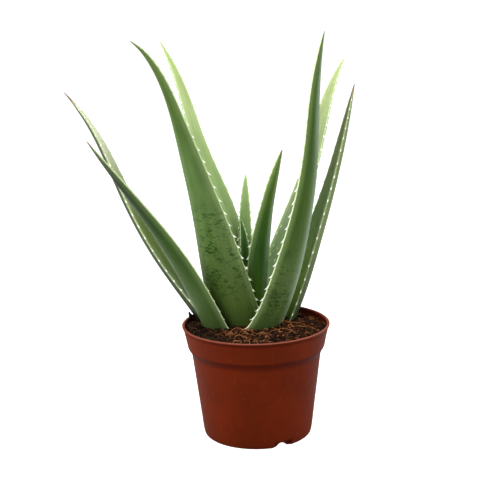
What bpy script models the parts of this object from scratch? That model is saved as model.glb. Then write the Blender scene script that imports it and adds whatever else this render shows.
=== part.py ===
"""Potted aloe: ten leaves that spring from a short buried stem, the soil, and a moulded plastic pot.

Metres, +Z up. The origin is the middle of the pot's base, on the surface that the pot stands on.
-Y is the front. Angles are in degrees; a heading of 0 points along +X and 90 along +Y.
"""

import math
from dataclasses import dataclass

import bmesh
import bpy
import numpy as np

MM = 0.001
GAP = 0.3 * MM  # left between pieces that touch

# Pot: a turned tub with a rim band, a ring foot and a flat centre that both stand on the surface
POT_HEIGHT = 92.5 * MM
POT_WALL = 1.4 * MM
LIP_RADIUS = 60.0 * MM
LIP_BEAD_OUT = 1.1 * MM  # how far the bead on the lip stands out from the band
LIP_BEAD_DEPTH = 1.3 * MM
LIP_WIDTH = 1.9 * MM  # across the top
LIP_THICKENING_DEPTH = 5.5 * MM  # how far down the inside the lip stays thick
BAND_BOTTOM = 74.7 * MM
BAND_RADIUS = 55.8 * MM  # at its bottom edge
BAND_FLARE = 1.6 * MM
BAND_FLARE_HEIGHT = 8.3 * MM
WALL_TOP = 64.0 * MM
WALL_TOP_RADIUS = 52.0 * MM
STEP_HEIGHT = 7.5 * MM  # of the curved step from the wall out to the band
STEP_OUT = 2.0 * MM
FOOT_RADIUS = 44.8 * MM
FOOT_HEIGHT = 5.5 * MM
FOOT_CURVE_IN = 2.3 * MM  # how far the curve under the wall draws in
FOOT_RING_WIDTH = 1.4 * MM
CENTRE_RADIUS = 29.5 * MM
CHANNEL_HEIGHT = 5.0 * MM
CHANNEL_DRAFT = 1.5 * MM
POT_SEGMENTS = 44

NOTCH_COUNT = 3
NOTCH_WIDTH = 16.0 * MM
NOTCH_DEPTH = 8.0 * MM
NOTCH_HEADING = -63.5
HOLE_COUNT = 6
HOLE_RADIUS = 3.0 * MM
HOLE_SEGMENTS = 10

# Soil, which is higher at the front left
SOIL_LEVEL = POT_HEIGHT - 4.0 * MM
SOIL_RADIUS = LIP_RADIUS - 3.6 * MM
SOIL_MIDDLE_RADIUS = 8.0 * MM
SOIL_RINGS = 6
SOIL_MOUND = 1.2 * MM
SOIL_SLOPE = (-0.012, -0.030)  # rise along +X and +Y
SWELL_LENGTH = (9.0 * MM, 11.0 * MM)
SWELL_PHASE = (1.1, -0.6)

# Stem: a squat crown, mostly buried, that narrows downwards
STEM_CENTRE = (-10.0 * MM, 22.0 * MM)
STEM_PROFILE = [(3, 34), (10, 42), (19, 52), (23, 60), (22, 66), (16, 71), (8, 74)]  # radius, height in mm
STEM_MIDDLE_HEIGHT = (STEM_PROFILE[0][1] + STEM_PROFILE[-1][1]) / 2 * MM
STEM_SEGMENTS = 16

# Leaf section, shared by every leaf
EDGE_THICKNESS = 0.8 * MM
EDGE_THINS_UNDER = 6.0 * MM  # of width
TIP_WIDTH = 1.2 * MM
TIP_FULLNESS = 1.2 * MM  # extra width that rounds the taper
TIP_START = 0.7  # of the length
TIP_WRAP = 22.0
BASE_THICKNESS_RATIO = 0.24  # thickness over width
TIP_THICKNESS_RATIO = 0.34
OUTER_SHARE = 0.65  # of the thickness, on the outer side of the middle line
LENS_POWER = 0.65  # how full the section is between its middle and its margins
SHEATH_REACH = 0.22  # of the length, over which a clasping base widens
LEAF_RINGS = 15
LEAF_POINTS = 7  # across each side


@dataclass
class Leaf:
    """One leaf, from its base on the stem to its tip. Lengths are in millimetres."""

    name: str
    root: tuple  # middle of the base, from the middle of the stem: x, y, z
    heading: tuple  # at the base and the tip
    lean: tuple  # from upright, at five even stations from base to tip
    length: float
    width: tuple  # at the base and at each quarter of the length, before the tip
    roll: tuple = (0, 0, 0)  # about the leaf's own line, at the base, middle and tip
    wrap: float = 50  # half of the arc that the base bends round the stem
    sheath: float = 0  # extra width at the base, where it clasps the leaves inside it
    behind: tuple = ()  # the leaves in front that it gives way to


LEAVES = [
    Leaf("leaf_front_left", (-15, -15.25, 8), (220, 220), (25, 27, 34, 38.75, 39), 227,
         (38.25, 32.75, 24.75, 14.25), roll=(15, 6, 15)),
    Leaf("leaf_tall_right", (5, -9.25, 8), (-24, -34), (38, 19, 12, 4, 14.5), 275, (44.5, 44, 29.5, 15.5),
         roll=(0, -2, 4.5), sheath=25, behind=("leaf_front_left",)),
    Leaf("leaf_far_right", (20, 4, 8), (18, 14), (32, 23, 19, 15, 12.75), 232, (35, 34.25, 24.5, 14.5),
         roll=(-22, -2, 0.5), behind=("leaf_tall_right",)),
    Leaf("leaf_tall_left", (-3, -7, 8), (222, 251), (20, 15, 22, 33, 73), 306, (56.5, 49.5, 30.25, 10),
         roll=(-13, 14, 9), behind=("leaf_front_left", "leaf_tall_right")),
    Leaf("leaf_far_left", (-14, -1, 8), (178, 176), (36, 34, 26, 23, 42.25), 252, (27, 17, 18, 13.5),
         roll=(-7, 13, -4), behind=("leaf_front_left", "leaf_tall_left")),
    Leaf("leaf_centre", (9, -4, 11), (-51, -55), (7, 5, 12, 20, 27.25), 176, (25, 21, 19, 10.5),
         roll=(3, 1, 5), wrap=34, behind=("leaf_tall_left", "leaf_tall_right")),
    Leaf("leaf_small_back", (3, 7, 12), (95, 80.5), (2, 2.75, 4, 7.25, 19), 142.5, (17, 14.5, 13.5, 8.25),
         wrap=34, behind=("leaf_tall_right",)),
    Leaf("leaf_tiny", (2, 3, 12), (120, 122), (1, 0, 0, 3, 19), 107, (11, 10.5, 9.5, 7.5),
         wrap=34, behind=("leaf_small_back",)),
    Leaf("leaf_back_left", (-5, 9, 8), (142, 139), (4, 3, 27, 20, 37.5), 270.5, (32, 27.5, 21.5, 12),
         roll=(0, 1, 5), behind=("leaf_tall_left", "leaf_tall_right", "leaf_small_back")),
    Leaf("leaf_back_right", (9, 9.5, 8), (41, 48), (18, 26, 30, 21, 43), 264, (32, 26.5, 19.5, 13.5),
         roll=(0, 0, -3), behind=("leaf_back_left", "leaf_centre", "leaf_tall_right", "leaf_far_right")),
]


def remove_old_objects():
    for old in list(bpy.data.objects):
        bpy.data.objects.remove(old)


def plain_material(name, colour, roughness):
    """A non-metallic surface of one colour."""
    made = bpy.data.materials.new(name)
    made.use_nodes = True
    surface = made.node_tree.nodes["Principled BSDF"]
    surface.inputs["Base Color"].default_value = (*colour, 1.0)
    surface.inputs["Roughness"].default_value = roughness
    surface.inputs["Metallic"].default_value = 0.0
    return made


def loft(name, rings, material=None):
    """A closed solid of triangles through rings of points, with each end closed by a strip across it."""
    bm = bmesh.new()
    loops = [[bm.verts.new(point) for point in ring] for ring in rings]
    count = len(loops[0])
    for lower, upper in zip(loops, loops[1:]):
        for i in range(count):
            j = (i + 1) % count
            bm.faces.new((lower[i], lower[j], upper[j], upper[i]))
    for loop in (loops[0], loops[-1]):
        for i in range(count // 2 - 1):
            bm.faces.new((loop[i], loop[i + 1], loop[count - 2 - i], loop[count - 1 - i]))
    bmesh.ops.triangulate(bm, faces=bm.faces)
    bmesh.ops.recalc_face_normals(bm, faces=bm.faces)
    mesh = bpy.data.meshes.new(name)
    bm.to_mesh(mesh)
    bm.free()
    made = bpy.data.objects.new(name, mesh)
    bpy.context.scene.collection.objects.link(made)
    if material:
        mesh.materials.append(material)
    return made


def shade(solid, sharp_angle=35.0):
    """Smooth across gentle edges and crisp across sharp ones."""
    solid.data.shade_smooth()
    solid.data.set_sharp_from_angle(angle=math.radians(sharp_angle))


def circle(radius, height, segments, centre=(0.0, 0.0)):
    """Points round a level circle."""
    angles = [2 * math.pi * i / segments for i in range(segments)]
    return [(centre[0] + radius * math.cos(a), centre[1] + radius * math.sin(a), height) for a in angles]


def smooth_through(values, s):
    """A smooth curve through values at even stations from 0 to 1, read at the places in s."""
    values = np.asarray(values, float)
    slope = np.gradient(values)
    last = len(values) - 1
    x = np.clip(s, 0, 1) * last
    i = np.minimum(x.astype(int), last - 1)
    t = x - i
    start = (2 * t**3 - 3 * t**2 + 1) * values[i] + (t**3 - 2 * t**2 + t) * slope[i]
    end = (3 * t**2 - 2 * t**3) * values[i + 1] + (t**3 - t**2) * slope[i + 1]
    return start + end


def leaf_line(leaf, s):
    """Unit vectors along the leaf, across it and towards its inner face, at each s."""
    lean = np.radians(smooth_through(leaf.lean, s))
    heading = np.radians(smooth_through(leaf.heading, s))
    roll = np.radians(smooth_through(leaf.roll, s))[:, None]
    level = np.stack([np.cos(heading), np.sin(heading), 0 * s], 1)
    side = np.stack([-np.sin(heading), np.cos(heading), 0 * s], 1)
    up = np.array([0.0, 0.0, 1.0])
    along = np.sin(lean)[:, None] * level + np.cos(lean)[:, None] * up
    inward = np.sin(lean)[:, None] * up - np.cos(lean)[:, None] * level
    across = np.cos(roll) * side - np.sin(roll) * inward
    return along, across, np.cos(roll) * inward + np.sin(roll) * side


def leaf_width(leaf, s):
    """The width at each s, with a clasping base and a full, rounded tip."""
    sheath = leaf.sheath * np.clip(1 - s / SHEATH_REACH, 0, 1) ** 2
    tip = TIP_FULLNESS * np.sin(np.pi * np.clip((s - TIP_START) / (1 - TIP_START), 0, 1))
    return smooth_through((*leaf.width, TIP_WIDTH / MM), s) * MM + sheath * MM + tip


def leaf_rings(leaf, grow=0.0):
    """The leaf's sections: a thick crescent that bends round the stem at the base and opens to the tip."""
    s = np.linspace(0, 1, LEAF_RINGS)
    middle = (s[1:] + s[:-1]) / 2
    step = leaf.length * MM / (LEAF_RINGS - 1)
    travel = np.vstack([np.zeros(3), np.cumsum(leaf_line(leaf, middle)[0] * step, axis=0)])
    along, across, inward = leaf_line(leaf, s)
    stem_middle = np.array([*STEM_CENTRE, STEM_MIDDLE_HEIGHT])
    line = stem_middle + np.array(leaf.root) * MM + travel
    line[0] -= along[0] * grow
    line[-1] += along[-1] * grow

    width = leaf_width(leaf, s)
    wrap = np.radians(TIP_WRAP + (leaf.wrap - TIP_WRAP) * (1 - s) ** 2)
    ratio = BASE_THICKNESS_RATIO + (TIP_THICKNESS_RATIO - BASE_THICKNESS_RATIO) * s
    edge = EDGE_THICKNESS / 2 * np.minimum(1, width / EDGE_THINS_UNDER) + grow

    u = np.linspace(-1, 1, LEAF_POINTS)
    bend = wrap[:, None] * u
    radius = (width / 2 + grow)[:, None] / wrap[:, None]
    lens = (1 - u**2) ** LENS_POWER * (width * ratio)[:, None]
    sections = []
    for offset in (-(lens * OUTER_SHARE + edge[:, None]), lens * (1 - OUTER_SHARE) + edge[:, None]):
        x = radius * np.sin(bend) - offset * np.sin(bend)
        y = radius * (1 - np.cos(bend)) + offset * np.cos(bend)
        sections.append(line[:, None] + x[..., None] * across[:, None] + y[..., None] * inward[:, None])
    outer, inner = sections
    return np.concatenate([outer, inner[:, ::-1]], axis=1)


def stem_rings(grow=0.0):
    """A squat root crown, narrow at the bottom."""
    widest = max(STEM_PROFILE)[1]
    rings = []
    for radius, height in STEM_PROFILE:
        rise = grow if height >= widest else -grow
        rings.append(circle(radius * MM + grow, height * MM + rise, STEM_SEGMENTS, STEM_CENTRE))
    return rings


def cut(solid, cutter):
    """Takes the cutter away from the solid, and then removes the cutter."""
    cutter.hide_render = True
    cutter.display_type = "WIRE"
    modifier = solid.modifiers.new("cut", "BOOLEAN")
    modifier.operation = "DIFFERENCE"
    modifier.solver = "EXACT"
    modifier.object = cutter
    bpy.context.view_layer.update()
    evaluated = solid.evaluated_get(bpy.context.evaluated_depsgraph_get())
    solid.data = bpy.data.meshes.new_from_object(evaluated)
    solid.modifiers.clear()
    bpy.data.objects.remove(cutter)


def keep_largest_body(solid):
    """Drops the loose bits that a cut pinches off."""
    bm = bmesh.new()
    bm.from_mesh(solid.data)
    unseen = set(bm.verts)
    bodies = []
    while unseen:
        body = {unseen.pop()}
        edge_of_body = list(body)
        while edge_of_body:
            vertex = edge_of_body.pop()
            near = {e.other_vert(vertex) for e in vertex.link_edges} & unseen
            unseen -= near
            body |= near
            edge_of_body.extend(near)
        bodies.append(body)
    bodies.sort(key=len)
    loose = [v for body in bodies[:-1] for v in body]
    bmesh.ops.delete(bm, geom=loose, context="VERTS")
    bm.to_mesh(solid.data)
    bm.free()


def pot_outside():
    """Radius and height up the outside: the centre's edge, drain channel, foot, wall, band and lip."""
    ring_outer = FOOT_RADIUS - FOOT_CURVE_IN
    ring_inner = ring_outer - FOOT_RING_WIDTH
    band_top = LIP_RADIUS - LIP_BEAD_OUT
    return [
        (CENTRE_RADIUS, 0.0),
        (CENTRE_RADIUS + CHANNEL_DRAFT, CHANNEL_HEIGHT),
        (ring_inner - CHANNEL_DRAFT / 3, CHANNEL_HEIGHT),
        (ring_inner, 0.0),
        (ring_outer, 0.0),
        (FOOT_RADIUS - FOOT_CURVE_IN * 0.5, FOOT_HEIGHT * 0.15),
        (FOOT_RADIUS - FOOT_CURVE_IN * 0.25, FOOT_HEIGHT * 0.45),
        (FOOT_RADIUS, FOOT_HEIGHT),
        (WALL_TOP_RADIUS, WALL_TOP),
        (WALL_TOP_RADIUS + STEP_OUT * 0.35, WALL_TOP + STEP_HEIGHT * 0.67),
        (WALL_TOP_RADIUS + STEP_OUT, WALL_TOP + STEP_HEIGHT),
        (BAND_RADIUS - 0.5 * MM, BAND_BOTTOM - 1.2 * MM),
        (BAND_RADIUS, BAND_BOTTOM),
        (BAND_RADIUS + BAND_FLARE, BAND_BOTTOM + BAND_FLARE_HEIGHT),
        (band_top - 0.3 * MM, POT_HEIGHT - 4.5 * MM),
        (band_top, POT_HEIGHT - LIP_BEAD_DEPTH - 0.6 * MM),
        (LIP_RADIUS, POT_HEIGHT - LIP_BEAD_DEPTH),
        (LIP_RADIUS, POT_HEIGHT - 0.4 * MM),
        (LIP_RADIUS - 0.5 * MM, POT_HEIGHT),
    ]


def pot_inside():
    """Radius and height from the lip down the inside to the floor."""
    floor = CHANNEL_HEIGHT + POT_WALL
    slope = (WALL_TOP_RADIUS - FOOT_RADIUS) / (WALL_TOP - FOOT_HEIGHT)
    lip_inner = LIP_RADIUS - LIP_WIDTH
    return [
        (lip_inner, POT_HEIGHT),
        (lip_inner - 0.5 * MM, POT_HEIGHT - 0.7 * MM),
        (lip_inner - 1.0 * MM, POT_HEIGHT - LIP_THICKENING_DEPTH),
        (BAND_RADIUS - POT_WALL, BAND_BOTTOM),
        (WALL_TOP_RADIUS - POT_WALL + STEP_OUT * 0.4, WALL_TOP + STEP_HEIGHT * 0.8),
        (WALL_TOP_RADIUS - POT_WALL, WALL_TOP),
        (FOOT_RADIUS - POT_WALL + slope * (floor - FOOT_HEIGHT), floor),
        (CENTRE_RADIUS + CHANNEL_DRAFT - POT_WALL * 0.8, floor),
        (CENTRE_RADIUS - POT_WALL * 0.8, POT_WALL),
    ]


def make_pot():
    clay_brown = plain_material("pot_plastic", (0.110, 0.016, 0.007), 0.5)
    profile = pot_outside() + pot_inside()
    pot = loft("pot", [circle(r, z, POT_SEGMENTS) for r, z in profile], clay_brown)
    for i in range(NOTCH_COUNT):
        heading = math.radians(NOTCH_HEADING + 360 / NOTCH_COUNT * i)
        bpy.ops.mesh.primitive_cube_add(size=1.0)
        notch = bpy.context.object
        notch.scale = (NOTCH_DEPTH, NOTCH_WIDTH, 2 * FOOT_HEIGHT)
        notch.location = (FOOT_RADIUS * math.cos(heading), FOOT_RADIUS * math.sin(heading), 0.0)
        notch.rotation_euler.z = heading
        cut(pot, notch)
    hole_circle = (CENTRE_RADIUS + FOOT_RADIUS - FOOT_CURVE_IN - FOOT_RING_WIDTH) / 2
    for i in range(HOLE_COUNT):
        heading = 2 * math.pi * i / HOLE_COUNT
        bpy.ops.mesh.primitive_cylinder_add(vertices=HOLE_SEGMENTS, radius=HOLE_RADIUS, depth=6 * POT_WALL)
        hole = bpy.context.object
        place = (hole_circle * math.cos(heading), hole_circle * math.sin(heading))
        hole.location = (*place, CHANNEL_HEIGHT + POT_WALL / 2)
        cut(pot, hole)
    shade(pot)


def soil_height(x, y):
    """The uneven surface: low swells on a slope, a little higher towards the middle."""
    swell = math.sin(x / SWELL_LENGTH[0] + SWELL_PHASE[0]) * math.cos(y / SWELL_LENGTH[1] + SWELL_PHASE[1])
    middle = 1 - min(1.0, math.hypot(x, y) / LIP_RADIUS) ** 2
    slope = x * SOIL_SLOPE[0] + y * SOIL_SLOPE[1]
    return SOIL_LEVEL + SOIL_MOUND * (0.5 * swell + middle) + slope


def make_soil(leaves):
    """Fills the pot to just under the lip, with a socket for the stem and each leaf."""
    coir = plain_material("soil_coir", (0.100, 0.040, 0.016), 0.95)
    side = [(r - GAP, z) for r, z in reversed(pot_inside()) if z <= BAND_BOTTOM]
    side = [(r, z + GAP if z < WALL_TOP / 2 else z) for r, z in side]
    rings = [circle(r, z, POT_SEGMENTS) for r, z in side]
    for radius in np.linspace(SOIL_RADIUS, SOIL_MIDDLE_RADIUS, SOIL_RINGS):
        level = circle(radius, 0.0, POT_SEGMENTS)
        rings.append([(x, y, soil_height(x, y)) for x, y, _ in level])
    soil = loft("soil", rings, coir)
    cut(soil, loft("stem_socket", stem_rings(GAP)))
    for leaf in leaves:
        cut(soil, loft("leaf_socket", leaf_rings(leaf, GAP)))
    keep_largest_body(soil)
    shade(soil, 60.0)


def make_stem():
    pith = plain_material("stem_fibre", (0.160, 0.090, 0.040), 0.8)
    shade(loft("stem", stem_rings(), pith))


def make_leaf(leaf, by_name):
    """The leaf, less the room that the stem and the leaves in front of it take."""
    green = plain_material(leaf.name + "_skin", (0.080, 0.160, 0.050), 0.42)
    made = loft(leaf.name, leaf_rings(leaf), green)
    cut(made, loft("stem_room", stem_rings(GAP)))
    for front in leaf.behind:
        cut(made, loft("front_room", leaf_rings(by_name[front], GAP)))
    keep_largest_body(made)
    shade(made, 50.0)


def main():
    remove_old_objects()
    by_name = {leaf.name: leaf for leaf in LEAVES}
    make_pot()
    make_soil(LEAVES)
    make_stem()
    for leaf in LEAVES:
        make_leaf(leaf, by_name)


main()
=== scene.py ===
"""A potted aloe: toothed fleshy leaves, coir soil and a moulded plastic pot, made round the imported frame.

Everything is in metres in the frame's own axes, +Z up, with the plant's front towards -Y.
Each leaf repeats the frame's leaf rule at a finer step and adds its teeth, margin and skin.
"""
import math
from dataclasses import dataclass

import bmesh
import bpy
import numpy as np
from mathutils import Euler, Matrix, Vector, noise


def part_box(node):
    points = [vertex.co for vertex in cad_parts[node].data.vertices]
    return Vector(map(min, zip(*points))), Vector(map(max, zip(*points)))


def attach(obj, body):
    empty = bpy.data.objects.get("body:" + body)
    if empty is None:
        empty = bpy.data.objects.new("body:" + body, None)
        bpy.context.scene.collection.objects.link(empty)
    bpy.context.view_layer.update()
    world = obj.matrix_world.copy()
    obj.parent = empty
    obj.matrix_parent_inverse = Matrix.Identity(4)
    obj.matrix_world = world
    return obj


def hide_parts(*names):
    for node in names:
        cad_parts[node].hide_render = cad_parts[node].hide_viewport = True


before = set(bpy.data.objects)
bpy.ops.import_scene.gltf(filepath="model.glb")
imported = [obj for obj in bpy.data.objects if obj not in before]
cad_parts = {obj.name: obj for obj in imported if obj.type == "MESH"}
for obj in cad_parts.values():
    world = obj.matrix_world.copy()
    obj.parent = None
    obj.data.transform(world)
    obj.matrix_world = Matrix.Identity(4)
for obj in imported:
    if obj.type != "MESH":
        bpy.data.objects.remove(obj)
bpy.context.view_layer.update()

MM = 0.001
GAP = 0.3 * MM
UP = np.array([0.0, 0.0, 1.0])
RANDOM_SEED = 7

# Places read from the frame
POT_LOW, POT_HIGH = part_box("pot")
POT_HEIGHT = POT_HIGH.z
LIP_RADIUS = (POT_HIGH.x - POT_LOW.x) / 2
STEM_LOW, STEM_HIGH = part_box("stem")
STEM_MIDDLE = np.array((STEM_LOW + STEM_HIGH) / 2)

# Pot, with the frame's own outline
POT_WALL = 1.4 * MM
LIP_BEAD_OUT = 1.1 * MM
LIP_BEAD_DEPTH = 1.3 * MM
LIP_WIDTH = 1.9 * MM
LIP_THICKENING_DEPTH = 5.5 * MM
BAND_BOTTOM = 74.7 * MM
BAND_RADIUS = LIP_RADIUS - 4.2 * MM
BAND_FLARE = 1.6 * MM
BAND_FLARE_HEIGHT = 8.3 * MM
WALL_TOP = 64.0 * MM
WALL_TOP_RADIUS = LIP_RADIUS - 8.0 * MM
STEP_HEIGHT = 7.5 * MM
STEP_OUT = 2.0 * MM
FOOT_RADIUS = LIP_RADIUS - 15.2 * MM
FOOT_HEIGHT = 5.5 * MM
FOOT_CURVE_IN = 2.3 * MM
FOOT_RING_WIDTH = 1.4 * MM
CENTRE_RADIUS = 29.5 * MM
CHANNEL_HEIGHT = 5.0 * MM
CHANNEL_DRAFT = 1.5 * MM
CORNER_RADIUS = 1.2 * MM
POT_SEGMENTS = 192
POT_SHARP_ANGLE = 32
NOTCH_COUNT = 3
NOTCH_WIDTH = 16.0 * MM
NOTCH_DEPTH = 8.0 * MM
NOTCH_HEADING = -63.5
NOTCH_CORNER = 0.9 * MM
HOLE_COUNT = 6
HOLE_RADIUS = 3.0 * MM
HOLE_SEGMENTS = 32
PLASTIC_DARK = (0.078, 0.0082, 0.0008)
PLASTIC_LIGHT = (0.100, 0.0106, 0.0011)
PLASTIC_SCUFF = (0.24, 0.07, 0.022)
# painted highlight: the light colour laid along the top edge of the lip
PAINTED_LIP_HIGHLIGHT = (0.34, 0.13, 0.09)
# painted shade: the tint that darkens the wall under the band and under the lip bead
PAINTED_OVERHANG_SHADE = (0.48, 0.32, 0.14)

# Soil, with the frame's own slope and swells
SOIL_LEVEL = POT_HEIGHT - 4.0 * MM
SOIL_RADIUS = LIP_RADIUS - 3.6 * MM
SOIL_MOUND = 1.2 * MM
SOIL_SLOPE = (-0.012, -0.030)
SWELL_LENGTH = (9.0 * MM, 11.0 * MM)
SWELL_PHASE = (1.1, -0.6)
SOIL_LUMPS = ((130.0, 1.2 * MM), (380.0, 1.3 * MM), (1000.0, 0.7 * MM))  # waves in a metre, and rise
SOIL_INNER_RADIUS = 0.6 * MM
SOIL_RINGS = 80
SOIL_SEGMENTS = 260
LITTER_RADIUS = LIP_RADIUS - 4.5 * MM
CRUMB_COUNT = 2600
CRUMB_SIZE = (0.7, 2.9)  # in mm, and most are near the smaller
CLUMP_COUNT = 18
CLUMP_TOP = np.array([-0.905 * LIP_RADIUS, 0.32 * LIP_RADIUS, POT_HEIGHT + 2.6 * MM])
CLUMP_FOOT = np.array([-0.78 * LIP_RADIUS, 0.22 * LIP_RADIUS, SOIL_LEVEL + 1.5 * MM])
PEAT_EDGE = (-32.0 * MM, -18.0 * MM)  # dark peat on the left gives way to coir between these
FIBRE_COUNT = 900
ROOT_RADIUS = 0.22 * MM
LONG_ROOTS = [  # start x and y, heading, length, curl and lift, in mm, degrees and radians
    (30, -16, 80, 26, 1.9, 5.0),
    (24, -10, -60, 22, 2.2, 3.0),
    (10, -22, 20, 24, -1.6, 2.5),
    (-6, -27, 150, 17, 1.0, 4.5),
    (-14, -28, 40, 14, -1.2, 4.0),
    (40, 5, -110, 22, -1.8, 3.0),
    (0, -22, 172, 19, -0.4, 1.5),
]
SOIL_DARK = (0.0025, 0.0014, 0.0009)
SOIL_LIGHT = (0.027, 0.008, 0.0025)
SOIL_PATCH = (0.022, 0.011, 0.006)
PEAT_BROWN = (0.016, 0.014, 0.008)
CRUMB_SHADES = ((0.003, 0.0017, 0.001), (0.090, 0.027, 0.007))
FIBRE_SHADES = ((0.007, 0.0024, 0.001), (0.36, 0.140, 0.048))

# Camera and studio
CAMERA_PLACE = Vector((-0.0035, -0.8782, 0.3498))
CAMERA_DOWN = 12.64
CAMERA_ROLL = -1.22
CAMERA_LENS = 80.88
SENSOR_WIDTH = 36.0
LIGHT_AIM = (0.0, 0.0, 0.16)
SOFT_LIGHTS = (  # name, place, power in watts, and size
    ("side_left", (-1.2, 0.10, 0.55), 16.0, 0.9),
    ("side_right", (1.2, 0.15, 0.50), 16.0, 0.9),
    ("front_left", (-0.6, -1.2, 0.9), 15.0, 0.7),
    ("top", (0.0, 0.1, 1.3), 20.0, 0.8),
)
FLOOR_SIZE = 60.0
FLOOR_GREY = 0.42
FLOOR_GLOW = 1.0
FLOOR_BOUNCE = 0.05  # the glow that lights the plant, as against the glow that the camera sees
WALL_LIGHT = 1.0
CEILING_LIGHT = 0.38

# Leaf section, shared by every leaf
EDGE_THICKNESS = 0.8 * MM
EDGE_THINS_UNDER = 6.0 * MM
LENS_POWER = 0.65
TIP_WIDTH = 1.2 * MM
TIP_FULLNESS = 1.2 * MM
TIP_START = 0.7
TIP_WRAP = 22.0
BASE_THICKNESS_RATIO = 0.24
TIP_THICKNESS_RATIO = 0.34
OUTER_SHARE = 0.65
SHEATH_REACH = 0.22
LEAF_STEP = 2.2 * MM
LEAF_POINTS = 17
STATION_GAP = 0.12  # in mm, the least between two sections
LINE_POINTS = 601
ROOM_STATIONS = 40
ROOM_POINTS = 11

# Teeth along each margin
TOOTH_HEIGHT = 2.5 * MM
TOOTH_RISE = 1.0 * MM
TOOTH_TAIL = 4.2 * MM
TOOTH_HOOK = 0.5  # how far the tip leans back towards the base, over its height
TOOTH_THINNING = 0.45  # how much thinner the rims are beside a full tooth
MARGIN_OUT = 0.9  # how far the margin stands out, over half the edge's thickness
TOOTH_RIM = 0.3  # share of a tooth's height that the rims beside it reach
TOOTH_SPAN = (0.10, 0.965)  # share of the leaf that has teeth
TOOTH_SPACING = ((0, 0.25, 0.6, 1.0), (7.5, 10.5, 11.5, 6.0))  # places along the leaf, and mm there
TOOTH_SIZES = ((0, 0.15, 0.6, 1), (0.8, 1.0, 0.85, 0.35))  # places along the leaf, and size there
TOOTH_OFFSETS = np.array([-0.9, -0.55, -0.25, 0.0, 0.3, 0.7, 1.3, 2.2, 3.2, 4.2]) * MM

# Leaf colours
RIM_GREEN = (0.30, 0.41, 0.17)
MARGIN_GREEN = (0.70, 0.80, 0.48)
TOOTH_IVORY = (0.92, 0.95, 0.80)
# painted sheen, laid over the lit side of some leaves' outer faces
PAINTED_SHEEN_GREY = (0.24, 0.33, 0.22)
FLECK_GREEN = (0.55, 0.70, 0.35)
DRY_BROWN = (0.16, 0.075, 0.04)
OUTER_GREENS = ((0.055, 0.110, 0.030), (0.085, 0.165, 0.045), (0.110, 0.205, 0.060))
# The inner greens are paler than the outer ones as painted light, for the light that shines through the
# leaves from behind.
INNER_GREENS = ((0.130, 0.255, 0.080), (0.230, 0.380, 0.120), (0.330, 0.500, 0.150))


@dataclass
class Leaf:
    """One leaf, from its base on the stem to its tip. Lengths are in millimetres, angles in degrees."""

    name: str
    root: tuple  # middle of the base, from the middle of the stem
    heading: tuple  # at the base and the tip
    lean: tuple  # from upright, at five even stations
    length: float
    width: tuple  # at the base and at each quarter of the length
    roll: tuple = (0, 0, 0)
    wrap: float = 50
    sheath: float = 0
    behind: tuple = ()
    dry_tip: float = 0.0  # share of the length that is brown
    outer: tuple = OUTER_GREENS  # skin colours low, halfway and near the tip
    inner: tuple = INNER_GREENS
    blotches: tuple = ()  # share of the length where they start and end
    flecks: float = 0.0
    stripe: float = 0.5  # strength of the dark stripe on the outer face
    stripe_at: float = -0.1
    teeth: float = 1.0  # their size
    rim: float = 0.26  # strength of the lighter band inside the margins
    line: float = 0.5  # strength of the pale line along the margins
    lit_side_sheen: tuple = ()  # painted sheen: grey laid across the outer face on its lit side: where it starts, where it is full, its strength


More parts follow.
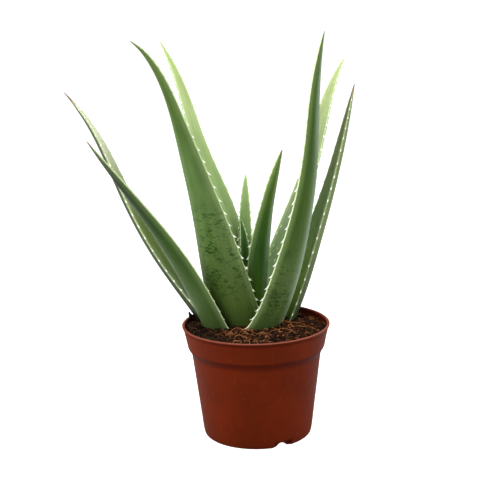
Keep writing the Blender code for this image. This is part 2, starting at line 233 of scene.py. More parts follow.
LEAVES = [
    # Its outer greens darken towards the tip as painted shade, where that face looks down.
    Leaf("leaf_front_left", (-15, -15.25, 8), (220, 220), (25, 27, 34, 38.75, 39), 227,
         (38.25, 32.75, 24.75, 14.25), roll=(15, 6, 15), dry_tip=0.01, stripe_at=0.45, teeth=0.3,
         rim=0.2, outer=((0.063, 0.107, 0.028), (0.027, 0.071, 0.002), (0.004, 0.021, 0.0001))),
    Leaf("leaf_tall_right", (5, -9.25, 8), (-24, -34), (38, 19, 12, 4, 14.5), 275, (44.5, 44, 29.5, 15.5),
         roll=(0, -2, 4.5), sheath=25, behind=("leaf_front_left",), blotches=(0.17, 0.34),
         stripe_at=-0.5, lit_side_sheen=(-0.35, 0.3, 0.5), line=0.95,
         outer=((0.082, 0.133, 0.034), (0.042, 0.088, 0.006), (0.037, 0.086, 0.006))),
    Leaf("leaf_far_right", (20, 4, 8), (18, 14), (32, 23, 19, 15, 12.75), 232, (35, 34.25, 24.5, 14.5),
         roll=(-22, -2, 0.5), behind=("leaf_tall_right",), dry_tip=0.02,
         rim=0.1, line=0.3, outer=((0.015, 0.033, 0.005), (0.105, 0.150, 0.048), (0.095, 0.135, 0.036)),
         inner=((0.100, 0.165, 0.021), (0.022, 0.052, 0.001), (0.040, 0.052, 0.005))),
    Leaf("leaf_tall_left", (-3, -7, 8), (222, 251), (20, 15, 22, 33, 73), 306, (56.5, 49.5, 30.25, 10),
         roll=(-13, 14, 9), behind=("leaf_front_left", "leaf_tall_right"), blotches=(0.2, 0.45),
         stripe_at=0.05, outer=((0.092, 0.145, 0.031), (0.097, 0.163, 0.044), (0.070, 0.136, 0.007))),
    # Its near-black outer greens are painted shade on the face in shadow, and its pale inner tip is painted
    # light shining through the leaf.
    Leaf("leaf_far_left", (-14, -1, 8), (178, 176), (36, 34, 26, 23, 42.25), 252, (27, 17, 18, 13.5),
         roll=(-7, 13, -4), behind=("leaf_front_left", "leaf_tall_left"), dry_tip=0.03,
         rim=0.12, outer=((0.008, 0.014, 0.004), (0.012, 0.020, 0.007), (0.022, 0.032, 0.014)),
         inner=((0.030, 0.076, 0.002), (0.084, 0.132, 0.014), (0.425, 0.435, 0.310))),
    # Its outer greens are lighter low down than halfway up: painted light on the lower part, which the leaves
    # beside it shade.
    Leaf("leaf_centre", (9, -4, 11), (-51, -55), (7, 5, 12, 20, 27.25), 176, (25, 21, 19, 10.5),
         roll=(3, 1, 5), wrap=34, behind=("leaf_tall_left", "leaf_tall_right"),
         stripe_at=-0.4, lit_side_sheen=(-0.1, 0.5, 0.8),
         outer=((0.128, 0.224, 0.020), (0.046, 0.112, 0.018), (0.101, 0.170, 0.019))),
    Leaf("leaf_small_back", (3, 7, 12), (95, 80.5), (2, 2.75, 4, 7.25, 19), 142.5, (17, 14.5, 13.5, 8.25),
         wrap=34, behind=("leaf_tall_right",),
         inner=((0.110, 0.200, 0.058), (0.195, 0.320, 0.107), (0.345, 0.460, 0.200))),
    Leaf("leaf_tiny", (2, 3, 12), (120, 122), (1, 0, 0, 3, 19), 107, (11, 10.5, 9.5, 7.5),
         wrap=34, behind=("leaf_small_back",),
         rim=0.1, inner=((0.014, 0.053, 0.001), (0.014, 0.053, 0.001), (0.014, 0.069, 0.0003))),
    Leaf("leaf_back_left", (-5, 9, 8), (142, 139), (4, 3, 27, 20, 37.5), 270.5, (32, 27.5, 21.5, 12),
         roll=(0, 1, 5), behind=("leaf_tall_left", "leaf_tall_right", "leaf_small_back"),
         inner=((0.165, 0.245, 0.085), (0.200, 0.292, 0.097), (0.280, 0.347, 0.133))),
    Leaf("leaf_back_right", (9, 9.5, 8), (41, 48), (18, 26, 30, 21, 43), 264, (32, 26.5, 19.5, 13.5),
         roll=(0, 0, -3), flecks=0.4,
         behind=("leaf_back_left", "leaf_centre", "leaf_tall_right", "leaf_far_right"),
         inner=((0.057, 0.124, 0.018), (0.112, 0.153, 0.071), (0.277, 0.327, 0.148))),
]


# ---------------------------------------------------------------- node materials


class Skin:
    """A Principled material, and short calls that build its nodes."""

    def __init__(self, name, **values):
        self.material = bpy.data.materials.new(name)
        self.material.use_nodes = True
        self.tree = self.material.node_tree
        self.surface = self.tree.nodes["Principled BSDF"]
        for socket, value in values.items():
            self.surface.inputs[socket.replace("_", " ")].default_value = value

    def add(self, kind, inputs=None, **settings):
        made = self.tree.nodes.new(kind)
        for name, value in settings.items():
            setattr(made, name, value)
        for socket, value in (inputs or {}).items():
            self.feed(made.inputs[socket], value)
        return made

    def feed(self, socket, value):
        """Links an output to the socket, or sets the socket's own value."""
        if isinstance(value, bpy.types.NodeSocket):
            self.tree.links.new(value, socket)
        elif socket.type == "RGBA" and len(value) == 3:
            socket.default_value = (*value, 1.0)
        else:
            socket.default_value = value

    def attribute(self, name, output="Fac"):
        return self.add("ShaderNodeAttribute", attribute_name=name).outputs[output]

    def position(self):
        return self.add("ShaderNodeTexCoord").outputs["Object"]

    def math(self, operation, *values):
        made = self.add("ShaderNodeMath", operation=operation)
        for socket, value in zip(made.inputs, values):
            self.feed(socket, value)
        return made.outputs[0]

    def ramp(self, value, start, end, low=0.0, high=1.0):
        """A smooth step: low where value is at start, high where it is at end."""
        limits = {"Value": value, "From Min": start, "From Max": end, "To Min": low, "To Max": high}
        made = self.add("ShaderNodeMapRange", limits, interpolation_type="SMOOTHSTEP")
        return made.outputs["Result"]

    def both(self, first, second):
        """1 only where both values are."""
        return self.math("MULTIPLY", first, second)

    def colour(self, factor, below, above, blend="MIX"):
        """Blends one colour over another by the factor."""
        made = self.add("ShaderNodeMix", data_type="RGBA", blend_type=blend)
        self.feed(made.inputs["Factor"], factor)
        self.feed(made.inputs[6], below)
        self.feed(made.inputs[7], above)
        return made.outputs[2]

    def stretched(self, vector, scale):
        return self.add("ShaderNodeVectorMath", {0: vector, 1: scale}, operation="MULTIPLY").outputs[0]

    def noise(self, vector, scale, detail=3.0, roughness=0.5, distortion=0.0):
        made = self.add("ShaderNodeTexNoise", {"Vector": vector, "Scale": scale, "Detail": detail,
                                               "Roughness": roughness, "Distortion": distortion})
        return made.outputs["Fac"]

    def voronoi(self, vector, scale, feature="F1"):
        made = self.add("ShaderNodeTexVoronoi", {"Vector": vector, "Scale": scale}, feature=feature)
        return made.outputs["Distance"]

    def bump(self, height, distance, strength=1.0):
        made = self.add("ShaderNodeBump", {"Height": height, "Distance": distance, "Strength": strength})
        self.feed(self.surface.inputs["Normal"], made.outputs[0])


def face_greens(skin, leaf, along, inside):
    """The greens of the two faces, each in three steps along the leaf."""
    faces = []
    for low, halfway, high in (leaf.outer, leaf.inner):
        lower = skin.colour(skin.ramp(along, 0.15, 0.5), low, halfway)
        faces.append(skin.colour(skin.ramp(along, 0.5, 0.9), lower, high))
    return skin.colour(inside, *faces)


def darker_stripe(skin, leaf, colour, along, across, inside):
    """A dark stripe that runs up the outer face."""
    offset = skin.math("ABSOLUTE", skin.math("SUBTRACT", across, leaf.stripe_at))
    stripe = skin.both(skin.ramp(offset, 0.05, 0.35, 1.0, 0.0), skin.ramp(along, 0.3, 0.7))
    stripe = skin.both(stripe, skin.ramp(inside, 0.2, 0.8, leaf.stripe, 0.0))
    return skin.colour(stripe, colour, (0.55, 0.68, 0.36), "MULTIPLY")


def blotched(skin, leaf, colour, place, along):
    """A belt of dark squiggles across the leaf, and soft smudges that fade out just above it."""
    start, end = leaf.blotches
    belt = skin.both(skin.ramp(along, start - 0.05, start + 0.05),
                     skin.ramp(along, end - 0.05, end + 0.05, 1.0, 0.0))
    patch = skin.ramp(skin.noise(place, 60.0, 2.0), 0.36, 0.52, 0.25, 1.0)
    belt = skin.both(belt, patch)
    squiggle = skin.noise(skin.stretched(place, (0.7, 1.5, 1.0)), 340.0, 2.0, 0.55, 1.2)
    spots = skin.both(skin.ramp(squiggle, 0.53, 0.57, 0.0, 1.0), belt)
    colour = skin.colour(spots, colour, (0.26, 0.40, 0.14), "MULTIPLY")
    soft = skin.noise(skin.stretched(place, (1.0, 0.6, 1.0)), 90.0, 3.0, 0.6)
    smudge = skin.ramp(soft, 0.6, 0.72, 0.0, 0.6)
    smudge = skin.both(smudge, skin.ramp(along, end + 0.15, end, 0.0, 1.0))
    return skin.colour(smudge, colour, (0.40, 0.55, 0.30), "MULTIPLY")


def flecked(skin, leaf, colour, place):
    """Small pale spots."""
    fleck = skin.voronoi(skin.stretched(place, (1.0, 0.45, 1.0)), 260.0)
    fleck = skin.ramp(fleck, 0.12, 0.25, 0.7 * leaf.flecks, 0.0)
    return skin.colour(fleck, colour, FLECK_GREEN)


def painted_side_sheen(skin, leaf, colour, across, inside):
    """Painted sheen: grey laid over one side of the outer face, where the light falls on it."""
    start, full, strength = leaf.lit_side_sheen
    side = skin.ramp(across, start, full, 0.0, strength)
    lit_side_sheen = skin.both(side, skin.ramp(inside, 0.4, 0.6, 1.0, 0.0))
    return skin.colour(lit_side_sheen, colour, PAINTED_SHEEN_GREY)


def edged(skin, leaf, colour, margin, tooth):
    """A lighter rim, a pale line along the margin, and ivory teeth."""
    colour = skin.colour(skin.ramp(margin, 0.4, 4.0, leaf.rim, 0.0), colour, RIM_GREEN)
    colour = skin.colour(skin.ramp(margin, 0.02, 0.3, leaf.line, 0.0), colour, MARGIN_GREEN)
    return skin.colour(skin.ramp(tooth, 0.06, 0.3), colour, TOOTH_IVORY)


def leaf_skin(leaf):
    """Waxy green skin: streaked along the leaf, with painted shade at the base, pale at the margin and teeth.
    """
    skin = Skin(leaf.name + "_skin", Subsurface_Weight=0.12, Subsurface_Scale=0.004, Specular_IOR_Level=0.17,
                Subsurface_Radius=(0.6, 1.0, 0.3))
    place = skin.attribute("leaf_place", "Vector")
    along = skin.attribute("leaf_along")
    across = skin.attribute("leaf_across")
    inside = skin.attribute("leaf_inside")
    margin = skin.attribute("leaf_margin")
    tooth = skin.attribute("leaf_tooth")
    mottle = skin.noise(skin.stretched(place, (1.0, 0.35, 1.0)), 60.0, 4.0, 0.6)
    streak = skin.noise(skin.stretched(place, (1.0, 0.04, 1.0)), 700.0, 3.0, 0.6)

    colour = face_greens(skin, leaf, along, inside)
    colour = skin.colour(skin.ramp(mottle, 0.3, 0.7), colour, (0.75, 0.78, 0.72), "MULTIPLY")
    colour = skin.colour(skin.ramp(streak, 0.35, 0.65, 0.0, 0.5), colour, (0.72, 0.76, 0.66), "MULTIPLY")
    colour = darker_stripe(skin, leaf, colour, along, across, inside)
    if leaf.blotches:
        colour = blotched(skin, leaf, colour, place, along)
    if leaf.flecks:
        colour = flecked(skin, leaf, colour, place)
    if leaf.lit_side_sheen:
        colour = painted_side_sheen(skin, leaf, colour, across, inside)
    # Painted shade: the skin darkens towards the base, where the leaves crowd together over the soil.
    colour = skin.colour(skin.ramp(along, 0.09, 0.21, 0.9, 0.0), colour, (0.48, 0.53, 0.42), "MULTIPLY")
    colour = edged(skin, leaf, colour, margin, tooth)
    if leaf.dry_tip:
        ragged = skin.math("ADD", along, skin.math("MULTIPLY", mottle, 0.02))
        start = 1.0 - leaf.dry_tip
        colour = skin.colour(skin.ramp(ragged, start - 0.02, start + 0.02), colour, DRY_BROWN)
    skin.feed(skin.surface.inputs["Base Color"], colour)
    skin.feed(skin.surface.inputs["Roughness"], skin.ramp(mottle, 0.3, 0.7, 0.36, 0.52))

    wrinkle = skin.noise(skin.stretched(place, (0.45, 1.3, 1.0)), 330.0, 5.0, 0.65, 0.7)
    pores = skin.voronoi(place, 1900.0)
    height = skin.math("ADD", skin.math("MULTIPLY", pores, 0.25), skin.math("MULTIPLY", wrinkle, 0.5))
    skin.bump(skin.math("ADD", height, streak), 0.12 * MM, 0.6)
    return skin.material


def level_band(skin, height, low, lowest_full, highest_full, high):
    """1 between two heights, fading to 0 below and above them."""
    return skin.both(skin.ramp(height, low, lowest_full), skin.ramp(height, highest_full, high, 1.0, 0.0))


def pot_skin():
    """Matte moulded plastic, the brown of terracotta, with a fine grain, light scuffs, painted shade and a
    painted highlight.
    """
    skin = Skin("pot_moulded_plastic", Specular_IOR_Level=0.04)
    place = skin.position()
    cloud = skin.noise(place, 28.0, 3.0, 0.55)
    colour = skin.colour(skin.ramp(cloud, 0.3, 0.7), PLASTIC_DARK, PLASTIC_LIGHT)
    scuff = skin.noise(skin.stretched(place, (1.0, 1.0, 0.5)), 300.0, 4.0, 0.65)
    colour = skin.colour(skin.ramp(scuff, 0.55, 0.75, 0.0, 0.10), colour, PLASTIC_SCUFF)
    height = skin.add("ShaderNodeSeparateXYZ", {0: place}).outputs["Z"]
    # Painted shade: the wall darkens just under the band's lower edge and just under the lip bead, where
    # those overhangs shade it.
    under_band = level_band(skin, height, BAND_BOTTOM - 9.0 * MM, BAND_BOTTOM - 2.5 * MM,
                            BAND_BOTTOM - 1.2 * MM, BAND_BOTTOM + 0.6 * MM)
    bead_bottom = POT_HEIGHT - LIP_BEAD_DEPTH
    under_bead = level_band(skin, height, bead_bottom - 3.5 * MM, bead_bottom - 0.6 * MM,
                            bead_bottom - 0.3 * MM, bead_bottom + 0.2 * MM)
    overhang_shade = skin.math("MAXIMUM", under_band, under_bead)
    colour = skin.colour(skin.math("MULTIPLY", overhang_shade, 0.8), colour, PAINTED_OVERHANG_SHADE, "MULTIPLY")
    # Painted highlight: a lighter strip along the top of the lip, in place of the gloss on its rounded edge.
    lip_highlight = skin.ramp(height, POT_HEIGHT - 0.9 * MM, POT_HEIGHT - 0.2 * MM, 0.0, 0.30)
    colour = skin.colour(lip_highlight, colour, PAINTED_LIP_HIGHLIGHT)
    skin.feed(skin.surface.inputs["Base Color"], colour)
    skin.feed(skin.surface.inputs["Roughness"], skin.ramp(cloud, 0.3, 0.7, 0.48, 0.60))
    grain = skin.noise(place, 2600.0, 3.0, 0.6)
    skin.bump(skin.math("ADD", grain, skin.math("MULTIPLY", scuff, 0.4)), 0.08 * MM, 0.5)
    return skin.material


def soil_skin():
    """Damp brown coir and peat."""
    skin = Skin("soil_coir_peat", Roughness=0.9, Specular_IOR_Level=0.05)
    place = skin.position()
    patch = skin.noise(place, 60.0, 4.0, 0.6)
    grain = skin.noise(place, 900.0, 5.0, 0.7)
    colour = skin.colour(skin.ramp(grain, 0.35, 0.65), SOIL_DARK, SOIL_LIGHT)
    colour = skin.colour(skin.ramp(patch, 0.45, 0.65, 0.0, 0.6), colour, SOIL_PATCH)
    left = skin.add("ShaderNodeSeparateXYZ", {0: place}).outputs["X"]
    left = skin.ramp(skin.math("ADD", left, skin.math("MULTIPLY", patch, 0.02)), *PEAT_EDGE, 0.75, 0.0)
    colour = skin.colour(left, colour, PEAT_BROWN)
    skin.feed(skin.surface.inputs["Base Color"], colour)
    skin.feed(skin.surface.inputs["Roughness"], skin.ramp(grain, 0.3, 0.7, 0.75, 0.95))
    skin.bump(grain, 0.6 * MM, 0.8)
    return skin.material


def crumb_skin(name, dark, light):
    """Bits of coir, bark and peat, each of its own shade."""
    skin = Skin(name, Roughness=0.85, Specular_IOR_Level=0.08)
    place = skin.position()
    own = skin.attribute("own_shade")
    grain = skin.noise(place, 1400.0, 4.0, 0.65)
    colour = skin.colour(own, dark, light)
    colour = skin.colour(skin.ramp(grain, 0.35, 0.7, 0.6, 0.0), colour, (0.45, 0.38, 0.34), "MULTIPLY")
    skin.feed(skin.surface.inputs["Base Color"], colour)
    skin.feed(skin.surface.inputs["Roughness"], skin.ramp(grain, 0.3, 0.7, 0.7, 0.92))
    skin.bump(grain, 0.2 * MM, 0.7)
    return skin.material


def stem_skin():
    """The woody crown that the leaves spring from."""
    skin = Skin("stem_fibre", Specular_IOR_Level=0.2)
    place = skin.position()
    fibre = skin.noise(skin.stretched(place, (1.0, 1.0, 0.1)), 700.0, 4.0, 0.6)
    colour = skin.colour(skin.ramp(fibre, 0.35, 0.65), (0.10, 0.055, 0.025), (0.24, 0.15, 0.075))
    skin.feed(skin.surface.inputs["Base Color"], colour)
    skin.feed(skin.surface.inputs["Roughness"], skin.ramp(fibre, 0.3, 0.7, 0.7, 0.9))
    skin.bump(fibre, 0.3 * MM, 0.7)
    return skin.material


def floor_skin():
    """A pale studio table that photographs white, and throws less light than that up at the plant."""
    skin = Skin("studio_floor", Roughness=0.8, Specular_IOR_Level=0.1)
    skin.surface.inputs["Base Color"].default_value = (FLOOR_GREY, FLOOR_GREY, FLOOR_GREY, 1.0)
    skin.surface.inputs["Emission Color"].default_value = (1.0, 1.0, 1.0, 1.0)
    seen = skin.add("ShaderNodeLightPath").outputs["Is Camera Ray"]
    skin.feed(skin.surface.inputs["Emission Strength"], skin.ramp(seen, 0.0, 1.0, FLOOR_BOUNCE, FLOOR_GLOW))
    return skin.material


# ---------------------------------------------------------------- mesh helpers


def mesh_object(name, points, faces, material=None, attributes=None):
    """A smooth shaded object from points and faces, with its point attributes."""
    mesh = bpy.data.meshes.new(name)
    mesh.from_pydata([tuple(p) for p in points], [], faces)
    for title, values in (attributes or {}).items():
        values = np.asarray(values, np.float32)
        kind, key = ("FLOAT_VECTOR", "vector") if values.ndim == 2 else ("FLOAT", "value")
        mesh.attributes.new(title, kind, "POINT").data.foreach_set(key, values.ravel())
    if material:
        mesh.materials.append(material)
    mesh.shade_smooth()
    made = bpy.data.objects.new(name, mesh)
    bpy.context.scene.collection.objects.link(made)
    return made


def tube_faces(rings, columns):
    """Triangles of a closed tube through rings of points, with each end closed by a strip."""
    faces = []
    for i in range(rings - 1):
        for j in range(columns):
            k = (j + 1) % columns
            a, b, c, d = i * columns + j, i * columns + k, (i + 1) * columns + k, (i + 1) * columns + j
            faces += [(a, c, b), (a, d, c)]
    last = (rings - 1) * columns
    for j in range(columns // 2 - 1):
        a, b, c, d = j, j + 1, columns - 2 - j, columns - 1 - j
        faces += [(a, b, c), (a, c, d)]
        faces += [(last + a, last + c, last + b), (last + a, last + d, last + c)]
    return faces


def drum_faces(rings, columns):
    """Triangles of a closed drum through rings of points, with a flat face on each end ring."""
    faces = []
    for i in range(rings - 1):
        for j in range(columns):
            k = (j + 1) % columns
            a, b, c, d = i * columns + j, i * columns + k, (i + 1) * columns + k, (i + 1) * columns + j
            faces += [(a, b, c), (a, c, d)]
    faces.append(tuple(range(columns - 1, -1, -1)))
    faces.append(tuple(range((rings - 1) * columns, rings * columns)))
    return faces


def face_outwards(made):
    """Turns every face of a closed mesh outwards."""
    bm = bmesh.new()
    bm.from_mesh(made.data)
    bmesh.ops.recalc_face_normals(bm, faces=bm.faces)
    bm.to_mesh(made.data)
    bm.free()


def cut(solid, cutter):
    """Takes the cutter away from the solid, and then removes the cutter."""
    modifier = solid.modifiers.new("cut", "BOOLEAN")
    modifier.operation = "DIFFERENCE"
    modifier.solver = "EXACT"
    modifier.object = cutter
    bpy.context.view_layer.update()
    evaluated = solid.evaluated_get(bpy.context.evaluated_depsgraph_get())
    solid.data = bpy.data.meshes.new_from_object(evaluated)
    solid.modifiers.clear()
    bpy.data.objects.remove(cutter)


def keep_largest_body(solid):
    """Drops the loose bits that a cut pinches off."""
    bm = bmesh.new()
    bm.from_mesh(solid.data)
    unseen = set(bm.verts)
    bodies = []
    while unseen:
        body = {unseen.pop()}
        front = list(body)
        while front:
            vertex = front.pop()
            near = {e.other_vert(vertex) for e in vertex.link_edges} & unseen
            unseen -= near
            body |= near
            front.extend(near)
        bodies.append(body)
    bodies.sort(key=len)
    bmesh.ops.delete(bm, geom=[v for body in bodies[:-1] for v in body], context="VERTS")
    bm.to_mesh(solid.data)
    bm.free()


def show(piece, slot, *nodes):
    """The piece rides on the plant's one body and stands for the nodes, which it hides. The slot is not used.
    """
    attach(piece, "root")
    if nodes:
        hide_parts(*nodes)


# ---------------------------------------------------------------- leaves


def smooth_through(values, s):
    """A smooth curve through values at even stations from 0 to 1, read at the places in s."""
    values = np.asarray(values, float)
    slope = np.gradient(values)
    last = len(values) - 1
    x = np.clip(s, 0, 1) * last
    i = np.minimum(x.astype(int), last - 1)
    t = x - i
    start = (2 * t**3 - 3 * t**2 + 1) * values[i] + (t**3 - 2 * t**2 + t) * slope[i]
    end = (3 * t**2 - 2 * t**3) * values[i + 1] + (t**3 - t**2) * slope[i + 1]
    return start + end


def leaf_line(leaf, s):
    """Unit vectors along the leaf, across it and towards its inner face, at each s."""
    lean = np.radians(smooth_through(leaf.lean, s))
    heading = np.radians(smooth_through(leaf.heading, s))
    roll = np.radians(smooth_through(leaf.roll, s))[:, None]
    level = np.stack([np.cos(heading), np.sin(heading), 0 * s], 1)
    side = np.stack([-np.sin(heading), np.cos(heading), 0 * s], 1)
    along = np.sin(lean)[:, None] * level + np.cos(lean)[:, None] * UP
    inward = np.sin(lean)[:, None] * UP - np.cos(lean)[:, None] * level
    across = np.cos(roll) * side - np.sin(roll) * inward
    return along, across, np.cos(roll) * inward + np.sin(roll) * side


def leaf_centre_line(leaf, s):
    """Points on the leaf's line at each s, stepped finely from its root."""
    fine = np.linspace(0, 1, LINE_POINTS)
    middle = (fine[1:] + fine[:-1]) / 2
    step = leaf.length * MM / (len(fine) - 1)
    travel = np.vstack([np.zeros(3), np.cumsum(leaf_line(leaf, middle)[0] * step, axis=0)])
    root = STEM_MIDDLE + np.array(leaf.root) * MM
    return root + np.stack([np.interp(s, fine, travel[:, k]) for k in range(3)], 1)


def leaf_width(leaf, s):
    """The width at each s, with a clasping base and a full, rounded tip."""
    sheath = leaf.sheath * np.clip(1 - s / SHEATH_REACH, 0, 1) ** 2
    tip = TIP_FULLNESS * np.sin(np.pi * np.clip((s - TIP_START) / (1 - TIP_START), 0, 1))
    return smooth_through((*leaf.width, TIP_WIDTH / MM), s) * MM + sheath * MM + tip


def tooth_places(leaf, rng):
    """Where the teeth stand on one margin: closer together at the base and the tip."""
    first, last = TOOTH_SPAN
    closer = min(1.0, leaf.length / 240 + 0.15)  # on a short leaf
    places = []
    s = first + rng.uniform(0, 0.02)
    while s < last:
        places.append(s)
        spacing = np.interp(s, *TOOTH_SPACING) * closer
        s += spacing * rng.uniform(0.88, 1.12) / leaf.length
    return np.array(places)


def tooth_profile(leaf, s, places, rng):
    """Height of the margin's teeth at each s: a steep rise, then a long pale tail towards the tip."""
    height = np.zeros_like(s)
    for place in places:
        away = (s - place) * leaf.length * MM
        size = TOOTH_HEIGHT * rng.uniform(0.85, 1.12) * np.interp(place, *TOOTH_SIZES)
        size *= leaf.teeth * min(1.0, leaf.width[1] / 26 + 0.25)
        rise = np.clip(1 + away / TOOTH_RISE, 0, 1) ** 1.4
        tail = np.clip(1 - away / TOOTH_TAIL, 0, 1) ** 2.8
        height = np.maximum(height, size * np.where(away < 0, rise, tail))
    return height


def section_columns(u):
    """Places round a section, from -1 to 1 across the leaf: outer face, margin, inner face, margin."""
    return np.concatenate([u, [1.0], u[::-1], [-1.0]])


def toothed_margins(teeth, count):
    """For each margin its tooth heights, its own column and the columns of the rims beside it."""
    left, right = teeth
    return (right, count, (count - 1, count + 1)), (left, -1, (0, -2))


def leaf_rings(leaf, s, u, grow=0.0, teeth=None):
    """Sections of the leaf at each s, with points at u across each face and one on each margin."""
    along, across, inward = leaf_line(leaf, s)
    line = leaf_centre_line(leaf, s)
    line[0] -= along[0] * grow
    line[-1] += along[-1] * grow
    width = leaf_width(leaf, s)
    wrap = np.radians(TIP_WRAP + (leaf.wrap - TIP_WRAP) * (1 - s) ** 2)
    ratio = BASE_THICKNESS_RATIO + (TIP_THICKNESS_RATIO - BASE_THICKNESS_RATIO) * s
    edge = EDGE_THICKNESS / 2 * np.minimum(1, width / EDGE_THINS_UNDER) + grow

    lens = (1 - u**2) ** LENS_POWER * (width * ratio)[:, None]
    offset = np.concatenate([
        -(lens * OUTER_SHARE + edge[:, None]), np.zeros((len(s), 1)),
        (lens * (1 - OUTER_SHARE) + edge[:, None])[:, ::-1], np.zeros((len(s), 1))], axis=1)
    columns = section_columns(u)
    beyond = np.zeros_like(offset)
    hook = np.zeros_like(offset)
    count = len(u)
    beyond[:, count] = edge * MARGIN_OUT
    beyond[:, -1] = edge * MARGIN_OUT
    if teeth is not None:
        for height, column, rims in toothed_margins(teeth, count):
            beyond[:, column] += height
            hook[:, column] = height * TOOTH_HOOK
            for rim in rims:
                beyond[:, rim] += height * TOOTH_RIM
                offset[:, rim] *= 1 - TOOTH_THINNING * np.clip(height / TOOTH_HEIGHT, 0, 1)
    bend = wrap[:, None] * columns
    radius = (width / 2 + grow)[:, None] / wrap[:, None]
    away = np.sign(columns) * beyond
    x = radius * np.sin(bend) - offset * np.sin(bend) + away * np.cos(bend)
    y = radius * (1 - np.cos(bend)) + offset * np.cos(bend) + away * np.sin(bend)
    sections = line[:, None] + x[..., None] * across[:, None] + y[..., None] * inward[:, None]
    return sections - hook[..., None] * along[:, None]


def leaf_stations(leaf, places):
    """Places along the leaf for its sections: even ones, and a cluster at each tooth."""
    even = np.linspace(0, 1, int(leaf.length * MM / LEAF_STEP) + 1)
    close = (places[:, None] + TOOTH_OFFSETS[None] / (leaf.length * MM)).ravel()
    s = np.unique(np.concatenate([even, close[(close > 0.02) & (close < 0.995)]]))
    keep = [0]
    for i in range(1, len(s) - 1):
        if (s[i] - s[keep[-1]]) * leaf.length > STATION_GAP:
            keep.append(i)
    return np.append(s[keep], 1.0)


def leaf_attributes(leaf, number, s, u, teeth):
    """Where each point of the leaf's sections lies on it, for the skin."""
    columns = section_columns(u)
    count = len(u)
    grid = np.ones((len(s), len(columns)))
    inside = np.concatenate([np.zeros(count), [0.5], np.ones(count), [0.5]])
    width = leaf_width(leaf, s)
    tooth = 0 * grid
    for height, column, rims in toothed_margins(teeth, count):
        tooth[:, column] = height / TOOTH_HEIGHT
        for rim in rims:
            tooth[:, rim] = TOOTH_RIM * height / TOOTH_HEIGHT
    place = np.stack([columns[None] * width[:, None] / 2, s[:, None] * leaf.length * MM * grid,
                      (inside[None] * 0.05 + 0.3 * number) * grid], 2)
    return {
        "leaf_place": place.reshape(-1, 3),
        "leaf_along": (s[:, None] * grid).ravel(),
        "leaf_across": (columns[None] * grid).ravel(),
        "leaf_inside": (inside[None] * grid).ravel(),
        "leaf_margin": ((1 - np.abs(columns))[None] * (width / 2 / MM)[:, None]).ravel(),
        "leaf_tooth": tooth.ravel(),
    }


def give_way(blade, front):
    """Takes away the room that the leaf in front needs."""
    s = np.linspace(0, 1, ROOM_STATIONS)
    rings = leaf_rings(front, s, np.linspace(-1, 1, ROOM_POINTS), GAP)
    room = mesh_object("front_room", rings.reshape(-1, 3), tube_faces(len(s), rings.shape[1]))
    face_outwards(room)
    cut(blade, room)


def make_leaf(leaf, number, by_name):
    rng = np.random.default_rng(RANDOM_SEED + number)
    left_places = tooth_places(leaf, rng)
    right_places = tooth_places(leaf, rng)
    s = leaf_stations(leaf, np.concatenate([left_places, right_places]))
    left = tooth_profile(leaf, s, left_places, rng)
    right = tooth_profile(leaf, s, right_places, rng)
    u = np.sin(np.linspace(-math.pi / 2, math.pi / 2, LEAF_POINTS))
    rings = leaf_rings(leaf, s, u, teeth=(left, right))
    blade = mesh_object(leaf.name, rings.reshape(-1, 3), tube_faces(len(s), rings.shape[1]), leaf_skin(leaf),
                        leaf_attributes(leaf, number, s, u, (left, right)))
    face_outwards(blade)
    for front in leaf.behind:
        give_way(blade, by_name[front])
    keep_largest_body(blade)
    blade.data.name = leaf.name
    blade.name = leaf.name + "_blade"
    show(blade, "leaf", leaf.name)


# ---------------------------------------------------------------- pot


def rounded(profile, radius, steps=4):
    """The outline with its corners rounded by up to radius."""
    made = [profile[0]]
    for before, corner, after in zip(profile, profile[1:], profile[2:]):
        before, corner, after = (np.array(p) for p in (before, corner, after))
        back, ahead = before - corner, after - corner
        reach = min(radius, 0.45 * np.linalg.norm(back), 0.45 * np.linalg.norm(ahead))
        start = corner + back / np.linalg.norm(back) * reach
        end = corner + ahead / np.linalg.norm(ahead) * reach
        for t in np.linspace(0, 1, steps):
            made.append(tuple((1 - t) ** 2 * start + 2 * t * (1 - t) * corner + t**2 * end))
    return made + [profile[-1]]


def pot_outside():
    """Radius and height up the outside: the centre's edge, drain channel, foot, wall, band and lip."""
    ring_outer = FOOT_RADIUS - FOOT_CURVE_IN
    ring_inner = ring_outer - FOOT_RING_WIDTH
    band_top = LIP_RADIUS - LIP_BEAD_OUT
    return [
        (CENTRE_RADIUS, 0.0),
        (CENTRE_RADIUS + CHANNEL_DRAFT, CHANNEL_HEIGHT),
        (ring_inner - CHANNEL_DRAFT / 3, CHANNEL_HEIGHT),
        (ring_inner, 0.0),
        (ring_outer, 0.0),
        (FOOT_RADIUS - FOOT_CURVE_IN * 0.5, FOOT_HEIGHT * 0.15),
        (FOOT_RADIUS - FOOT_CURVE_IN * 0.25, FOOT_HEIGHT * 0.45),
        (FOOT_RADIUS, FOOT_HEIGHT),
        (WALL_TOP_RADIUS, WALL_TOP),
        (WALL_TOP_RADIUS + STEP_OUT * 0.35, WALL_TOP + STEP_HEIGHT * 0.67),
        (WALL_TOP_RADIUS + STEP_OUT, WALL_TOP + STEP_HEIGHT),
        (BAND_RADIUS - 0.5 * MM, BAND_BOTTOM - 1.2 * MM),
        (BAND_RADIUS, BAND_BOTTOM),
        (BAND_RADIUS + BAND_FLARE, BAND_BOTTOM + BAND_FLARE_HEIGHT),
        (band_top - 0.3 * MM, POT_HEIGHT - 4.5 * MM),
        (band_top, POT_HEIGHT - LIP_BEAD_DEPTH - 0.6 * MM),
        (LIP_RADIUS, POT_HEIGHT - LIP_BEAD_DEPTH),
        (LIP_RADIUS, POT_HEIGHT - 0.4 * MM),
        (LIP_RADIUS - 0.5 * MM, POT_HEIGHT),
    ]


